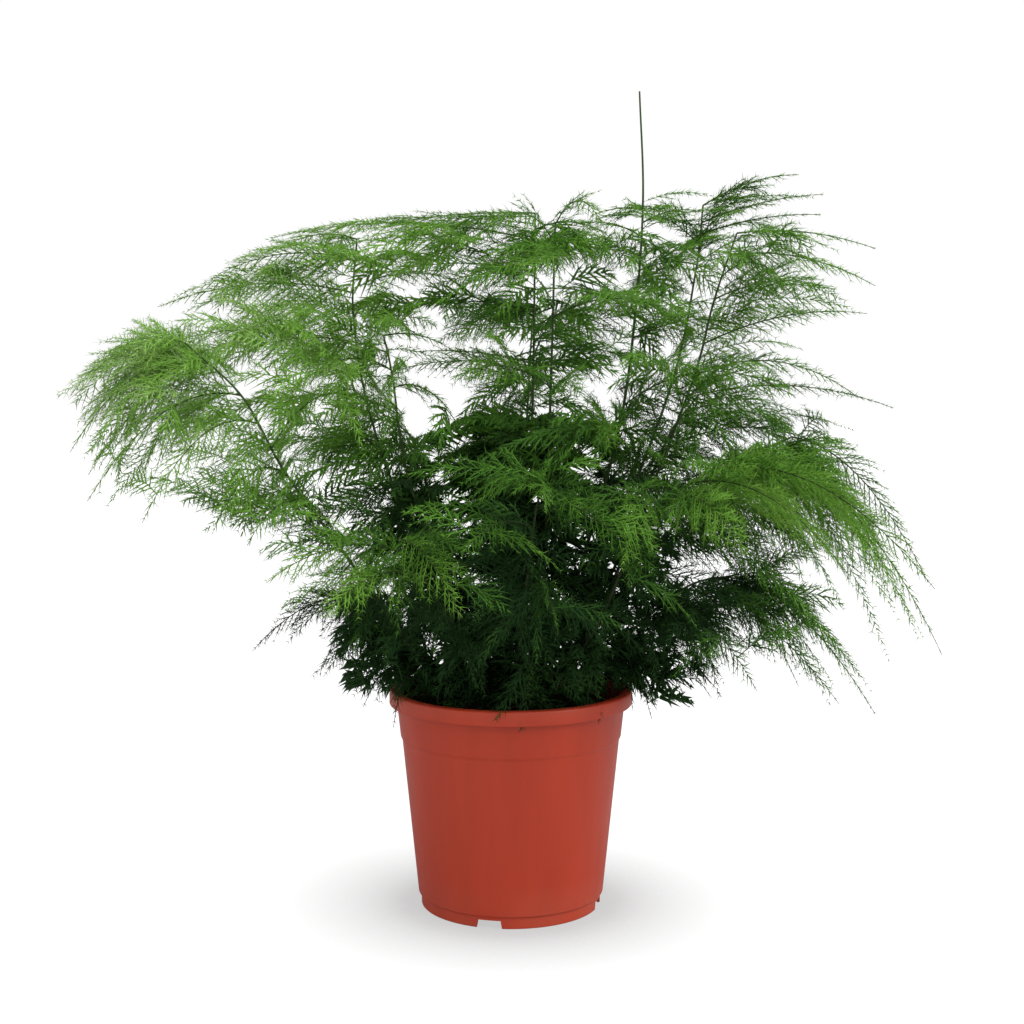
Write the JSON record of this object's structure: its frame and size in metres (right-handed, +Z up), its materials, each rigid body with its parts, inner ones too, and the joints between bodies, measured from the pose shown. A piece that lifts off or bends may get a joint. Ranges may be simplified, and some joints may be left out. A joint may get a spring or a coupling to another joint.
{
  "type": "potted asparagus fern",
  "caption": "Asparagus fern with tiered, feathery sprays on wiry stems, standing in soil in a terracotta-coloured plastic nursery pot.",
  "frame": {"origin": "centre of the pot's foot, on the surface that the pot stands on", "axes": "+Z up along the pot's axis, +X to the right and -Y to the front, as the pot was pictured"},
  "size_m": [0.4262, 0.3183, 0.3976],
  "materials": {
    "pot_plastic": "thin moulded terracotta-coloured plastic with a soft sheen",
    "potting_soil": "moist dark peat soil",
    "foliage": "fine green needles on wiry green-brown stems"
  },
  "bodies": {
    "root": {"pot": "pot_plastic", "soil": "potting_soil", "stem_tall_centre": "foliage", "stem_bare_shoot": "foliage", "stem_right_high": "foliage", "stem_right_lean": "foliage", "stem_right_back": "foliage", "stem_right_arch": "foliage", "stem_right_front": "foliage", "stem_right_low": "foliage", "stem_right_rim": "foliage", "stem_front_mid": "foliage", "stem_front_left": "foliage", "stem_front_rim": "foliage", "stem_left_mid": "foliage", "stem_centre_thin": "foliage", "stem_far_left": "foliage", "stem_left_back": "foliage", "stem_left_low": "foliage", "stem_left_rim": "foliage", "stem_back_left": "foliage", "stem_back_mid": "foliage", "stem_back_right": "foliage", "stem_back_low": "foliage"}
  },
  "joints": []
}
